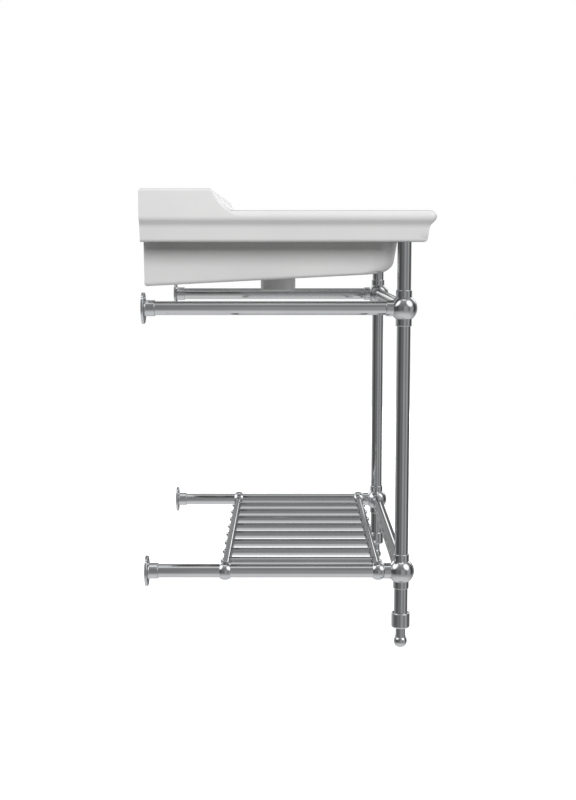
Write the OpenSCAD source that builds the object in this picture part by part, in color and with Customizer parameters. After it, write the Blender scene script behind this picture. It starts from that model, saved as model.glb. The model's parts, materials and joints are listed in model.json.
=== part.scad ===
// Console basin on a two-legged tube washstand, in millimetres.
// X runs across, with the user's right at +X. The wall is the plane at +Y and the front lip is at -Y.
// Z is height above the floor, and the origin is under the middle of the basin.

/* [Basin rim] */
// Width of the basin over its side lips
basin_w = 762; // [700:1:1000]
// Depth of the basin from the wall to its front lip
basin_d = 533.5; // [510:0.5:600]
// Height of the top of the rim above the floor
rim_z = 814.6; // [780:0.1:900]
// Height of the moulded rim from its top to its underside
rim_h = 56.6; // [52:0.1:66]
// Radius of the roll along the rim's upper edge
roll_r = 11; // [9:0.5:12.5]
// Height of the roll above the flat land inside it
land_drop = 3; // [1:0.5:5]
// Length of the straight slope between the roll and the cove
quirk_len = 6.8; // [4:0.1:9]
// Radius of the cove under the roll
cove_r = 23; // [18:0.5:26]
// Lean of the fascia under the cove, in degrees from upright
fascia_lean = 8; // [4:0.5:12]
// Radius along the fascia's lower edge
fascia_edge_r = 3; // [1:0.5:5]
// Plan radius of the lip at the two front corners
lip_corner_r = 13; // [12:0.5:18]

/* [Basin ledge] */
// Depth of the raised ledge's top from the wall
ledge_d = 130; // [118:0.5:131]
// Height of the ledge above the rim
ledge_rise = 38.6; // [25:0.1:50]
// Depth of the hollow slope in front of the ledge
slope_d = 36; // [30:0.5:38]
// Radius of the hollow slope
slope_r = 92; // [60:1:120]
// Radius where the ledge's top meets the slope
slope_top_r = 8; // [3:0.5:10]
// Radius along the ledge's ends and its edge at the wall
ledge_edge_r = 5; // [2:0.5:8]

/* [Basin body] */
// Distance from the side lip to the body's side, at the rim's underside
body_side_inset = 77; // [70:0.5:80]
// Distance from the front lip to the body's front, at the rim's underside
body_front_inset = 60.5; // [58:0.5:66]
// Lean of the body's sides, in degrees from upright
body_side_lean = 5; // [2:0.5:7]
// Lean of the body's front, in degrees from upright
body_front_lean = 10; // [6:0.5:12]
// Drop from the rim's underside to the body's lowest edge, at the wall
body_drop = 81.8; // [76:0.1:90]
// Rise of the body's underside towards the front, in degrees
bottom_rise = 2.98; // [2:0.01:3.4]
// Plan radius of the body's front corners
body_corner_r = 55; // [45:1:65]
// Radius where the body's front turns under
body_front_r = 29; // [20:0.5:34]
// Radius along the body's other lower edges
body_edge_r = 7; // [4:0.5:10]
// Thickness of the ceramic deck under the rim's land and under the ledge's top
deck_t = 14; // [11:0.5:16]
// Thickness of the fascia and of the ceramic at the wall
shell_t = 12; // [9:0.5:13]

/* [Bowl] */
// Width of the bowl at the land
bowl_w = 600; // [560:1:606]
// Distance from the front lip to the bowl's edge
bowl_front_inset = 62; // [60:0.5:70]
// Distance from the wall to the bowl's rear edge
bowl_back_inset = 174; // [173:0.5:176]
// Depth of the bowl's floor below the land, at the foot of its walls
bowl_depth = 95; // [85:0.5:98]
// Further fall of the floor to the waste
floor_fall = 7; // [4:0.5:9]
// Plan radius of the bowl's corners
bowl_corner_r = 95; // [85:1:110]
// Radius over the bowl's edge
bowl_lip_r = 8; // [4:0.5:10]
// Radius between the bowl's floor and its sides and front
bowl_floor_r = 45; // [35:0.5:50]
// Radius between the bowl's floor and its rear wall
bowl_back_r = 18; // [10:0.5:20]
// Lean of the bowl's sides and front, in degrees from upright
bowl_lean = 10; // [6:0.5:13]
// Lean of the bowl's rear wall, in degrees from upright
bowl_back_lean = 3; // [1:0.5:4]

/* [Waste, taps and overflow] */
// Distance from the wall to the middle of the waste
waste_back = 246; // [245:0.5:255]
// Diameter of the waste hole
waste_d = 45; // [40:0.5:48]
// Diameter of the seat for the waste's flange
waste_seat_d = 66; // [58:0.5:70]
// Depth of the seat for the waste's flange
waste_seat_t = 3; // [1:0.5:4]
// Diameter of the boss round the waste hole
boss_d = 72; // [64:0.5:80]
// Drop of the boss below the body's underside at its middle
boss_drop = 30; // [24:0.5:34]
// Diameter of each tap hole
tap_d = 35; // [28:0.5:38]
// Distance from the left tap hole to the right one
tap_spread = 203.2; // [150:0.1:230]
// Distance from the wall to the tap holes
tap_back = 63.5; // [58:0.5:68]
// Diameter of the overflow's inlet
overflow_d = 22; // [18:0.5:24]
// Drop from the land to the middle of the overflow's inlet
overflow_drop = 30; // [28:0.5:36]
// Diameter of the passage behind the bowl
passage_d = 14; // [10:0.5:16]
// Diameter of the passage under the floor
drain_d = 8; // [5:0.5:9]
// Distance between the two wall bolts
wall_bolt_spread = 280; // [200:1:320]
// Diameter of the wall bolt holes
wall_bolt_d = 12; // [10:0.5:14]

/* [Stand] */
// Diameter of the legs and rails
tube_d = 25.4; // [24:0.1:27]
// Wall of the legs and rails
tube_wall = 1.5; // [1:0.1:2]
// Distance from the side lip to the middle of the leg
leg_side_inset = 39.7; // [39:0.1:42]
// Distance from the front lip to the middle of the leg
leg_front_inset = 54.85; // [52:0.05:58]
// Drop from the rim's underside to the upper rails
upper_drop = 120; // [110:0.5:200]
// Height of the lower rails above the floor
lower_z = 146.3; // [135:0.1:250]
// Diameter of the ball joints
ball_d = 49; // [46:0.5:52]
// Diameter of the collars on the ball joints and wall flanges
collar_d = 29.4; // [29:0.1:31]
// Reach of a collar from the middle of its ball
collar_reach = 33; // [32:0.5:40]
// Depth of the tube's end in the ball, from the middle of the ball
tube_seat = 15; // [14.5:0.5:17]
// Radius on the end of each collar
collar_edge_r = 1.5; // [0.5:0.1:1.8]
// Radial clearance between a tube and its socket
tube_fit = 0.1; // [0.05:0.01:0.2]

/* [Wall flanges] */
// Diameter of a wall flange
flange_d = 57; // [54:0.5:70]
// Thickness of a wall flange
flange_t = 5; // [4:0.5:7]
// Radius on the flange's front edge
flange_edge_r = 1.2; // [0.5:0.1:2]
// Radius between the flange and its collar
flange_cove_r = 2.5; // [1:0.5:3]
// Reach of the flange's collar from the wall
flange_reach = 23.9; // [20:0.1:30]
// Number of screws in a flange
flange_screws = 3; // [3:1:4]
// Diameter of the circle of flange screws
flange_pcd = 44.4; // [43:0.1:45]
// Diameter of a flange screw's hole
flange_hole_d = 4.5; // [4:0.1:5]
// Diameter of a flange screw's countersink
flange_sink_d = 8.6; // [7:0.1:9]

/* [Rack] */
// Diameter of a slat
slat_d = 16; // [12:0.1:16.2]
// Wall of the slats and the rack's bars
slat_wall = 1.2; // [0.8:0.1:1.5]
// Diameter of the rack's two bars
bar_d = 16.5; // [16.3:0.1:17]
// Distance from the wall to the rack's rear bar
rear_bar_back = 149; // [120:0.5:200]
// Diameter of the small balls that hold the bars
rack_ball_d = 34.5; // [33:0.5:38]
// Half of the length of a small ball along its rail
rack_ball_half = 9.9; // [9.8:0.1:11]
// Diameter of the neck that takes a bar
neck_d = 19.6; // [19.4:0.1:19.8]
// Reach of the neck from the middle of its small ball
neck_reach = 27; // [25:0.5:32]
// Depth of the bar's end in its neck, from the middle of the small ball
bar_seat = 14; // [13.8:0.1:16]
// Diameter of a slat screw's round head
knob_d = 10.4; // [8:0.1:11]
// Reach of the screw's head from the middle of its bar
knob_reach = 12.5; // [12:0.1:13]
// Diameter of a slat screw's shank
slat_screw_d = 5; // [4:0.1:6]
// Length of the plug inside each end of a slat
plug_len = 14; // [10:0.5:20]

/* [Feet] */
// Diameter of the foot collar
foot_collar_d = 34.4; // [32:0.1:38]
// Height of the foot collar
foot_collar_h = 29.2; // [26:0.1:34]
// Thickness of the threaded floor in the foot collar
foot_collar_floor = 10; // [8:0.5:12]
// Radius on the foot collar's upper edge
foot_collar_top_r = 2.5; // [1:0.1:3]
// Radius on the foot collar's lower edge
foot_collar_low_r = 4; // [2:0.1:5]
// Diameter of the foot's stem
stem_d = 18.2; // [15:0.1:19]
// Length of stem that shows under the collar
stem_show = 16.2; // [15:0.1:24]
// Length of stem above the collar's floor
stem_up = 30; // [24:0.5:40]
// Radial running clearance of the stem in the collar
stem_fit = 0.05; // [0.02:0.01:0.1]
// Diameter of the ball foot
foot_ball_d = 24.7; // [23:0.1:28]
// Diameter of the flat under the ball foot
foot_flat_d = 9; // [6:0.1:10]
// Diameter of the ring on the ball foot's neck
foot_neck_d = 19.6; // [19:0.1:21]
// Height of the ball foot with its neck
foot_h = 21.5; // [21:0.1:24]
// Diameter of the stem's pin in the ball foot
pin_d = 10; // [8:0.5:12]
// Depth of the stem's pin in the ball foot
pin_len = 9; // [6:0.5:12]

/* [Leg pads and set screws] */
// Depth of the recess in the rim's underside that takes a leg
leg_recess = 8; // [6:0.5:10]
// Clearance of the leg in its recess
leg_recess_fit = 0.5; // [0.3:0.1:1]
// Thickness of the pad's head
pad_t = 3; // [2:0.5:4]
// Length of the pad's plug in the tube
pad_plug = 12; // [8:0.5:18]
// Diameter of a set screw
set_screw_d = 4; // [3:0.1:4.5]
// Depth of a set screw's socket
hex_t = 1.2; // [0.8:0.1:1.5]
// Width of a set screw's socket over its corners
hex_d = 2.2; // [1.5:0.1:2.5]

/* [Hidden] */
$fn = 64;

// Planes and axes that several pieces share
wall_y = basin_d / 2;
lip_y = -basin_d / 2;
lip_x = basin_w / 2;
rim_low_z = rim_z - rim_h;
land_z = rim_z - land_drop;
deck_low_z = land_z - deck_t;
leg_x = lip_x - leg_side_inset;
leg_y = lip_y + leg_front_inset;
upper_z = rim_low_z - upper_drop;
overrun = 1;
eps_fit = 0.05;

// Moulding of the rim: x is 0 at the lip and z is 0 at the rim's top
roll_c = [-roll_r, -roll_r];
roll_end = roll_c + roll_r * [cos(45), -sin(45)];
cove_start = roll_end - quirk_len * [cos(45), sin(45)];
cove_c = cove_start + cove_r * [cos(45), -sin(45)];
cove_end = cove_c - cove_r * [cos(fascia_lean), -sin(fascia_lean)];
edge_c_z = fascia_edge_r - rim_h;
edge_c_x = cove_end.x + (sin(fascia_lean) * (edge_c_z - cove_end.y) - fascia_edge_r) / cos(fascia_lean);
edge_c = [edge_c_x, edge_c_z];
pocket_inset = shell_t - fascia_edge_r - edge_c_x;

// Hollow slope in front of the ledge, in Y and Z over the rim's top
slope_head = [wall_y - ledge_d, ledge_rise];
slope_foot = [wall_y - ledge_d - slope_d, 0];
slope_chord = slope_head - slope_foot;
slope_c = (slope_head + slope_foot) / 2
  + [-slope_chord.y, slope_chord.x] / norm(slope_chord) * sqrt(slope_r ^ 2 - norm(slope_chord) ^ 2 / 4);
slope_top_z = ledge_rise - slope_top_r;
slope_top_c = [slope_c.x + sqrt((slope_r + slope_top_r) ^ 2 - (slope_top_z - slope_c.y) ^ 2), slope_top_z];
slope_end_angle = atan2(slope_top_c.y - slope_c.y, slope_top_c.x - slope_c.x);
slope_tail_angle = -asin((slope_c.y + roll_r) / slope_r);
ledge_corner = [ledge_edge_r, ledge_edge_r];

// Body under the rim
body_x = lip_x - body_side_inset;
body_y = lip_y + body_front_inset;
body_low_z = rim_low_z - body_drop;
body_top_z = deck_low_z + overrun;
body_back_r = 5;
corner_follow_share = 0.6;

// Bowl
bowl_x = bowl_w / 2;
bowl_front_y = lip_y + bowl_front_inset;
bowl_back_y = wall_y - bowl_back_inset;
waste_y = wall_y - waste_back;
waste_flat_rim = 5;
waste_flat_r = waste_seat_d / 2 + waste_flat_rim;
floor_z = land_z - bowl_depth - floor_fall;
floor_shares = [1, 0.75, 0.5, 0.25];
// Steps round each corner of the body and the bowl, and along each straight side of the bowl
body_arc = 12;
bowl_arc = 9;
bowl_run = 6;

// Passages and hollows behind the bowl
passage_wall = 4.5;
passage_y = bowl_back_y + passage_wall + passage_d / 2;
hollow_front_y = passage_y + passage_wall + passage_d / 2;
hollow_back_y = wall_y - shell_t;
hollow_x = body_x - shell_t - body_drop * tan(body_side_lean);
hollow_top_z = rim_z + ledge_rise - deck_t;
hollow_corner_r = 6;
ledge_hollow_y = wall_y - ledge_d + shell_t;
overflow_z = land_z - overflow_drop;
wall_bolt_drop = 9;
wall_bolt_z = deck_low_z - wall_bolt_drop;
overflow_reach = passage_y - bowl_back_y + 2 * bowl_lip_r;
drain_z = (floor_z - waste_seat_t + under_z(waste_y)) / 2;
boss_low_z = under_z(waste_y) - boss_drop;
boss_edge_r = 3;
leg_block = 22;
flange_sink_t = (flange_sink_d - flange_hole_d) / 2;

// Stand
ball_r = ball_d / 2;
tube_r = tube_d / 2;
bar_r = bar_d / 2;
slat_r = slat_d / 2;
leg_top_z = rim_low_z + leg_recess - pad_t;
front_bar_y = leg_y + collar_reach + rack_ball_half + 2 * eps_fit;
rear_bar_y = wall_y - rear_bar_back;
slats = 8;
slat_pitch = 2 * leg_x / (slats + 1);
slat_hole_fit = 0.1;
plug_r = slat_r - slat_wall - eps_fit;
plug_floor = 3;
shank_in = plug_len - plug_floor;
foot_low_z = foot_h + stem_show;
foot_seat_z = foot_low_z + foot_collar_floor;
foot_screw_drop = 6;
screw_drop = 6;
set_screw_fit = 0.05;

// Height of the body's underside at a given place from front to back
function under_z(y) = body_low_z + (wall_y - y) * tan(bottom_rise);
// Inset of a rounded edge of radius r at height h above its foot
function round_in(h, r) = h < r ? r - sqrt(r ^ 2 - (r - h) ^ 2) : 0;
function mix(a, b, share) = a + (b - a) * share;
// Points along an arc between two angles
function arc(centre, r, from, to, steps) = [
  for (i = [0 : steps]) centre + r * [cos(mix(from, to, i / steps)), sin(mix(from, to, i / steps))]
];

// Ring of points round a box with rounded corners, counterclockwise from above
function round_box(x, y0, y1, r, turn_steps, run_steps) = [
  for (q = [0 : 3])
    let (corner = box_corner(q, x, y0, y1, r), next = box_corner((q + 1) % 4, x, y0, y1, r))
    let (last = corner + r * [cos(90 * q + 90), sin(90 * q + 90)])
    let (first = next + r * [cos(90 * q + 90), sin(90 * q + 90)])
    for (i = [0 : turn_steps + run_steps - 1])
      i <= turn_steps ? corner + r * [cos(90 * (q + i / turn_steps)), sin(90 * (q + i / turn_steps))]
        : mix(last, first, (i - turn_steps) / run_steps)
];
function box_corner(q, x, y0, y1, r) = [(q == 0 || q == 3 ? 1 : -1) * (x - r), q < 2 ? y1 - r : y0 + r];

// Solid through rings of points that lie one above the other
module loft(rings) {
  n = len(rings[0]);
  last = len(rings) - 1;
  polyhedron(
    points = [for (ring = rings) each ring],
    faces = concat(
      [[for (i = [0 : n - 1]) i]],
      [[for (i = [n - 1 : -1 : 0]) last * n + i]],
      [for (k = [0 : last - 1], i = [0 : n - 1]) [k * n + i, (k + 1) * n + i, (k + 1) * n + (i + 1) % n]],
      [for (k = [0 : last - 1], i = [0 : n - 1]) [k * n + i, (k + 1) * n + (i + 1) % n, k * n + (i + 1) % n]]
    )
  );
}

// Round bar of radius r and height h, with its far edge rounded
module round_end(r, h, edge) {
  rotate_extrude() round_end_profile(r, h, edge);
}
module round_end_profile(r, h, edge) {
  square([r, h - edge]);
  square([r - edge, h]);
  translate([r - edge, h - edge]) circle(edge);
}
// Round bar of radius r with a domed end
module dome_end(r, h) {
  rotate_extrude() {
    square([r, h - r]);
    intersection() {
      translate([0, h - r]) circle(r);
      square([r, h]);
    }
  }
}
// Tube that stands on the XY plane
module tube(r, wall, h) {
  difference() {
    cylinder(r = r, h = h);
    translate([0, 0, -overrun]) cylinder(r = r - wall, h = h + 2 * overrun);
  }
}
module sided(side) {
  mirror([side < 0 ? 1 : 0, 0, 0]) children();
}
// Turns an upright piece to point to the wall, to the front or across
module to_wall() rotate([-90, 0, 0]) children();
module to_front() rotate([90, 0, 0]) children();
module to_right() rotate([0, 90, 0]) children();

// Section of the rim's moulding, from the lip to a given depth inside it
module moulding(depth) {
  polygon(concat(
    [[-depth, 0]],
    arc(roll_c, roll_r, 90, -45, 18),
    arc(cove_c, cove_r, 135, 180 - fascia_lean, 7),
    arc(edge_c, fascia_edge_r, -fascia_lean, -90, 6),
    [[-depth, -rim_h]]
  ));
}
// Section of the land's recess, from the inner side of the roll, sloping as the roll's inner edge
module land_section(half) {
  top = half - 2 * roll_r;
  foot = top - 2 * land_drop;
  polygon([[-top, 0], [-top, overrun], [top, overrun], [top, 0], [foot, -land_drop], [-foot, -land_drop]]);
}
module land_cut() {
  intersection() {
    translate([0, basin_d, 0]) to_front() linear_extrude(2 * basin_d) land_section(lip_x);
    translate([-lip_x, roll_r + basin_d / 2, 0]) rotate([90, 0, 90]) linear_extrude(basin_w)
      land_section(basin_d + roll_r);
  }
}
// Square corner outside the quarter turn of the moulding
module corner_waste() {
  difference() {
    translate([0, 0, -rim_h - overrun])
      cube([lip_corner_r + overrun, lip_corner_r + overrun, rim_h + 2 * overrun]);
    rotate_extrude(angle = 90) intersection() {
      translate([lip_corner_r, 0]) moulding(2 * lip_corner_r);
      translate([0, -rim_h]) square([lip_corner_r, rim_h]);
    }
  }
}
module rim_slab() {
  difference() {
    intersection() {
      translate([0, wall_y, 0]) to_front() linear_extrude(basin_d) {
        translate([lip_x, 0]) moulding(lip_x);
        mirror([1, 0]) translate([lip_x, 0]) moulding(lip_x);
      }
      translate([-lip_x, 0, 0]) rotate([90, 0, 90]) linear_extrude(basin_w)
        mirror([1, 0]) translate([-lip_y, 0]) moulding(basin_d);
    }
    for (side = [-1, 1]) sided(side)
      translate([lip_x - lip_corner_r, lip_y + lip_corner_r, 0]) rotate([0, 0, -90]) corner_waste();
    land_cut();
  }
}
module ledge_block() {
  intersection() {
    translate([-lip_x, 0, 0]) rotate([90, 0, 90]) linear_extrude(basin_w) polygon(concat(
      [[wall_y, -roll_r]],
      arc([wall_y, ledge_rise] - ledge_corner, ledge_edge_r, 0, 90, 6),
      arc(slope_top_c, slope_top_r, 90, slope_end_angle + 180, 6),
      arc(slope_c, slope_r, slope_end_angle, slope_tail_angle, 12)
    ));
    translate([0, wall_y, 0]) to_front() linear_extrude(basin_d) polygon(concat(
      [[-lip_x, -roll_r], [lip_x, -roll_r]],
      arc([lip_x, ledge_rise] - ledge_corner, ledge_edge_r, 0, 90, 6),
      arc([-lip_x + ledge_edge_r, ledge_rise - ledge_edge_r], ledge_edge_r, 90, 180, 6)
    ));
  }
}
// Plan of a hollow with rounded corners
module rounded_plan(x, y0, y1, r) {
  translate([-x, y0 + r]) square([2 * x, y1 - y0 - 2 * r]);
  translate([r - x, y0]) square([2 * (x - r), y1 - y0]);
  for (px = [r - x, x - r], py = [y0 + r, y1 - r]) translate([px, py]) circle(r);
}
// Hollow under the rim's deck, solid over each leg
module rim_pocket() {
  front = lip_y + pocket_inset;
  height = deck_low_z - rim_low_z + overrun;
  translate([0, 0, rim_low_z - overrun]) linear_extrude(height) difference() {
    rounded_plan(lip_x - pocket_inset, front, hollow_back_y, hollow_corner_r);
    for (side = [-1, 1])
      translate([side * (leg_x + leg_block) - 2 * leg_block, front - leg_block])
        square([4 * leg_block, leg_y - front + 2 * leg_block]);
  }
}

function body_height_share(y) = (body_top_z - under_z(y)) / (body_top_z - body_low_z);
// One ring of the body, at a height above its underside at the wall
function body_ring(h) =
  let (front_z = under_z(body_y) + h * body_height_share(body_y))
  let (side_in = (rim_low_z - body_low_z - h) * tan(body_side_lean) + round_in(h, body_edge_r))
  let (front_in = (rim_low_z - front_z) * tan(body_front_lean) + round_in(h, body_front_r))
  let (x = body_x - side_in, y0 = body_y + front_in, y1 = wall_y - round_in(h, body_back_r))
  let (r = body_corner_r - corner_follow_share * (front_in + side_in) / 2)
  let (left = arc([r - x, y0 + r], r, 180, 270, body_arc))
  let (right = [for (i = [body_arc : -1 : 0]) [-left[i].x, left[i].y]])
  [for (p = concat([[x, y1], [-x, y1]], left, right)) [p.x, p.y, under_z(p.y) + h * body_height_share(p.y)]];
module body_solid() {
  turn = [for (a = [0 : 10 : 90]) body_front_r * (1 - cos(a))];
  loft([for (h = concat(turn, [rim_low_z - body_low_z, body_top_z - body_low_z])) body_ring(h)]);
}
module boss() {
  height = floor_z - waste_seat_t - boss_low_z - overrun;
  translate([0, waste_y, boss_low_z + height]) mirror([0, 0, 1]) round_end(boss_d / 2, height, boss_edge_r);
}

// One ring of the bowl at a depth under the land, with the insets of its edge and of its foot
function bowl_ring(depth) =
  let (rise = bowl_depth - depth)
  let (lip_in = depth < bowl_lip_r ? sqrt(bowl_lip_r ^ 2 - (bowl_lip_r - depth) ^ 2) : bowl_lip_r)
  let (wall_depth = max(0, depth - bowl_lip_r))
  let (in = lip_in + wall_depth * tan(bowl_lean) + round_in(rise, bowl_floor_r))
  let (back_in = lip_in + wall_depth * tan(bowl_back_lean) + round_in(rise, bowl_back_r))
  [for (p = round_box(bowl_x - in, bowl_front_y + in, bowl_back_y - back_in,
    bowl_corner_r - corner_follow_share * in, bowl_arc, bowl_run)) [p.x, p.y, land_z - depth]];
// Ring of the floor on its way from the foot of the walls to the flat round the waste
function floor_ring(share) = [
  for (p = bowl_ring(bowl_depth))
    let (flat = [p.x, p.y - waste_y] * waste_flat_r / norm([p.x, p.y - waste_y]))
    [mix(p.x, flat.x, share), mix(p.y, flat.y + waste_y, share), p.z - floor_fall * share ^ 1.5]
];
module bowl_cut() {
  lip = [for (a = [0 : 15 : 90]) bowl_lip_r * (1 - cos(a))];
  foot = [for (a = [0 : 10 : 90]) bowl_depth - bowl_floor_r * (1 - cos(a))];
  loft([
    for (share = floor_shares) floor_ring(share),
    for (depth = foot) bowl_ring(depth),
    for (i = [len(lip) - 1 : -1 : 0]) bowl_ring(lip[i]),
    [for (p = bowl_ring(0)) p + [0, 0, overrun]]
  ]);
}
// Waste hole with its seat, overflow and the passage that joins them
module waste_and_overflow() {
  translate([0, waste_y, boss_low_z - overrun])
    cylinder(r = waste_d / 2, h = floor_z - boss_low_z + 2 * overrun);
  translate([0, waste_y, floor_z - waste_seat_t]) cylinder(r = waste_seat_d / 2, h = waste_seat_t + overrun);
  translate([0, waste_y, drain_z]) to_wall() cylinder(r = drain_d / 2, h = passage_y - waste_y);
  translate([0, passage_y, drain_z]) cylinder(r = passage_d / 2, h = overflow_z - drain_z);
  translate([0, passage_y, overflow_z]) to_front() cylinder(r = overflow_d / 2, h = overflow_reach);
}
// Hollow behind the bowl, open below, which holds the taps' tails and the wall bolts
module rear_hollow() {
  translate([0, 0, boss_low_z]) linear_extrude(deck_low_z - boss_low_z)
    rounded_plan(hollow_x, hollow_front_y, hollow_back_y, hollow_corner_r);
  translate([0, 0, deck_low_z - overrun]) linear_extrude(hollow_top_z - deck_low_z + overrun)
    rounded_plan(lip_x - pocket_inset, ledge_hollow_y, hollow_back_y, hollow_corner_r);
}
module basin_holes() {
  for (x = [-tap_spread / 2, 0, tap_spread / 2])
    translate([x, wall_y - tap_back, hollow_top_z - overrun])
      cylinder(r = tap_d / 2, h = deck_t + 2 * overrun);
  for (side = [-1, 1])
    translate([side * wall_bolt_spread / 2, hollow_back_y - overrun, wall_bolt_z]) to_wall()
      cylinder(r = wall_bolt_d / 2, h = shell_t + 2 * overrun);
  for (side = [-1, 1])
    translate([side * leg_x, leg_y, rim_low_z - overrun])
      cylinder(r = tube_r + leg_recess_fit, h = leg_recess + overrun);
}
module basin() {
  color("whitesmoke") difference() {
    union() {
      difference() {
        translate([0, 0, rim_z]) union() {
          rim_slab();
          ledge_block();
        }
        rim_pocket();
      }
      body_solid();
      boss();
    }
    bowl_cut();
    waste_and_overflow();
    rear_hollow();
    basin_holes();
  }
}

module leg_pad(side) {
  color("dimgray") sided(side) translate([leg_x, leg_y, leg_top_z]) {
    cylinder(r = tube_r, h = pad_t);
    translate([0, 0, -pad_plug]) cylinder(r = tube_r - tube_wall - eps_fit, h = pad_plug);
  }
}
module leg_length(side, low, high) {
  color("silver") sided(side) translate([leg_x, leg_y, low]) tube(tube_r, tube_wall, high - low);
}
// Ball with collars up, down, to the wall and across, each bored for a tube and drilled for a set screw
module ball_joint(side, z) {
  color("silver") sided(side) translate([leg_x, leg_y, z]) difference() {
    union() {
      sphere(ball_r);
      ball_ways() round_end(collar_d / 2, collar_reach, collar_edge_r);
    }
    ball_ways() translate([0, 0, tube_seat]) cylinder(r = tube_r + tube_fit, h = collar_reach);
    ball_screw_places() cylinder(r = set_screw_d / 2 + set_screw_fit, h = collar_d);
  }
}
module ball_ways() {
  children();
  mirror([0, 0, 1]) children();
  to_wall() children();
  rotate([0, -90, 0]) children();
}
// Set screws face the wall on the upright collars and the floor on the others
module ball_screw_places() {
  reach = collar_reach - screw_drop;
  translate([0, 0, reach]) to_wall() children();
  translate([0, 0, -reach]) to_wall() children();
  translate([0, reach, 0]) mirror([0, 0, 1]) children();
  translate([-reach, 0, 0]) mirror([0, 0, 1]) children();
}
module side_rail(side, z) {
  color("silver") sided(side) translate([leg_x, leg_y + tube_seat, z]) to_wall()
    tube(tube_r, tube_wall, wall_y - flange_t - leg_y - tube_seat);
}
module cross_rail(z) {
  reach = leg_x - tube_seat;
  color("silver") translate([-reach, leg_y, z]) to_right() tube(tube_r, tube_wall, 2 * reach);
}
module wall_flange(side, z) {
  color("silver") sided(side) translate([leg_x, wall_y, z]) to_front() difference() {
    rotate_extrude() {
      round_end_profile(flange_d / 2, flange_t, flange_edge_r);
      round_end_profile(collar_d / 2, flange_reach, collar_edge_r);
      difference() {
        square([collar_d / 2 + flange_cove_r, flange_t + flange_cove_r]);
        translate([collar_d / 2 + flange_cove_r, flange_t + flange_cove_r]) circle(flange_cove_r);
      }
    }
    translate([0, 0, flange_t]) cylinder(r = tube_r + tube_fit, h = flange_reach);
    for (i = [0 : flange_screws - 1])
      rotate([0, 0, 90 + i * 360 / flange_screws]) translate([flange_pcd / 2, 0, 0]) {
        translate([0, 0, -overrun]) cylinder(r = flange_hole_d / 2, h = flange_t + 2 * overrun);
        translate([0, 0, flange_t - flange_sink_t])
          cylinder(r1 = flange_hole_d / 2, r2 = flange_sink_d / 2, h = flange_sink_t);
      }
    flange_screw_place() cylinder(r = set_screw_d / 2 + set_screw_fit, h = collar_d);
  }
}
module flange_screw_place() {
  translate([0, 0, flange_reach - screw_drop]) rotate([90, 0, 0]) children();
}

// Small ball on a lower side rail, with a neck that takes the end of a bar
module rack_ball(side, y) {
  color("silver") sided(side) translate([leg_x, y, lower_z]) difference() {
    union() {
      to_wall() rotate_extrude() intersection() {
        circle(rack_ball_d / 2);
        translate([0, -rack_ball_half]) square([rack_ball_d, 2 * rack_ball_half]);
      }
      rotate([0, -90, 0]) translate([0, 0, tube_r])
        round_end(neck_d / 2, neck_reach - tube_r, collar_edge_r / 2);
    }
    translate([0, -rack_ball_d, 0]) to_wall() cylinder(r = tube_r + tube_fit, h = 2 * rack_ball_d);
    rotate([0, -90, 0]) translate([0, 0, bar_seat]) cylinder(r = bar_r + tube_fit, h = neck_reach);
    neck_screw_place() cylinder(r = set_screw_d / 2 + set_screw_fit, h = neck_d);
  }
}
module neck_screw_place() {
  translate([-(bar_seat + neck_reach) / 2 - overrun, 0, 0]) mirror([0, 0, 1]) children();
}
function slat_x(i) = (i - (slats - 1) / 2) * slat_pitch;
module rack_bar(y) {
  reach = leg_x - bar_seat;
  color("silver") difference() {
    translate([-reach, y, lower_z]) to_right() tube(bar_r, slat_wall, 2 * reach);
    for (i = [0 : slats - 1]) translate([slat_x(i), y - bar_d, lower_z]) to_wall()
      cylinder(r = slat_screw_d / 2 + slat_hole_fit, h = 2 * bar_d);
  }
}
// Space of both bars, to which the slats, their plugs and the screw heads are shaped
module bar_space() {
  for (y = [front_bar_y, rear_bar_y]) translate([-leg_x, y, lower_z]) to_right()
    cylinder(r = bar_r + eps_fit, h = 2 * leg_x);
}
module slat(i) {
  color("silver") difference() {
    translate([slat_x(i), front_bar_y, lower_z]) to_wall() tube(slat_r, slat_wall, rear_bar_y - front_bar_y);
    bar_space();
  }
}
// Places one piece at each end of each slat, pointing along the slat
module at_slat_ends(ends) {
  for (i = [0 : slats - 1], end = ends)
    translate([slat_x(i), end > 0 ? front_bar_y : rear_bar_y, lower_z]) rotate([-90 * end, 0, 0]) children();
}
module slat_plugs() {
  color("gray") difference() {
    at_slat_ends([-1, 1]) difference() {
      cylinder(r = plug_r, h = bar_r + plug_len);
      translate([0, 0, -overrun])
        cylinder(r = slat_screw_d / 2 + eps_fit, h = bar_r + shank_in + 2 * overrun);
    }
    bar_space();
  }
}
module slat_screws(end) {
  color("silver") at_slat_ends([end]) {
    difference() {
      mirror([0, 0, 1]) dome_end(knob_d / 2, knob_reach);
      to_right() translate([0, 0, -knob_d]) cylinder(r = bar_r + eps_fit, h = 2 * knob_d);
    }
    translate([0, 0, -bar_r - overrun]) cylinder(r = slat_screw_d / 2, h = 2 * bar_r + overrun + shank_in);
  }
}

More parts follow.
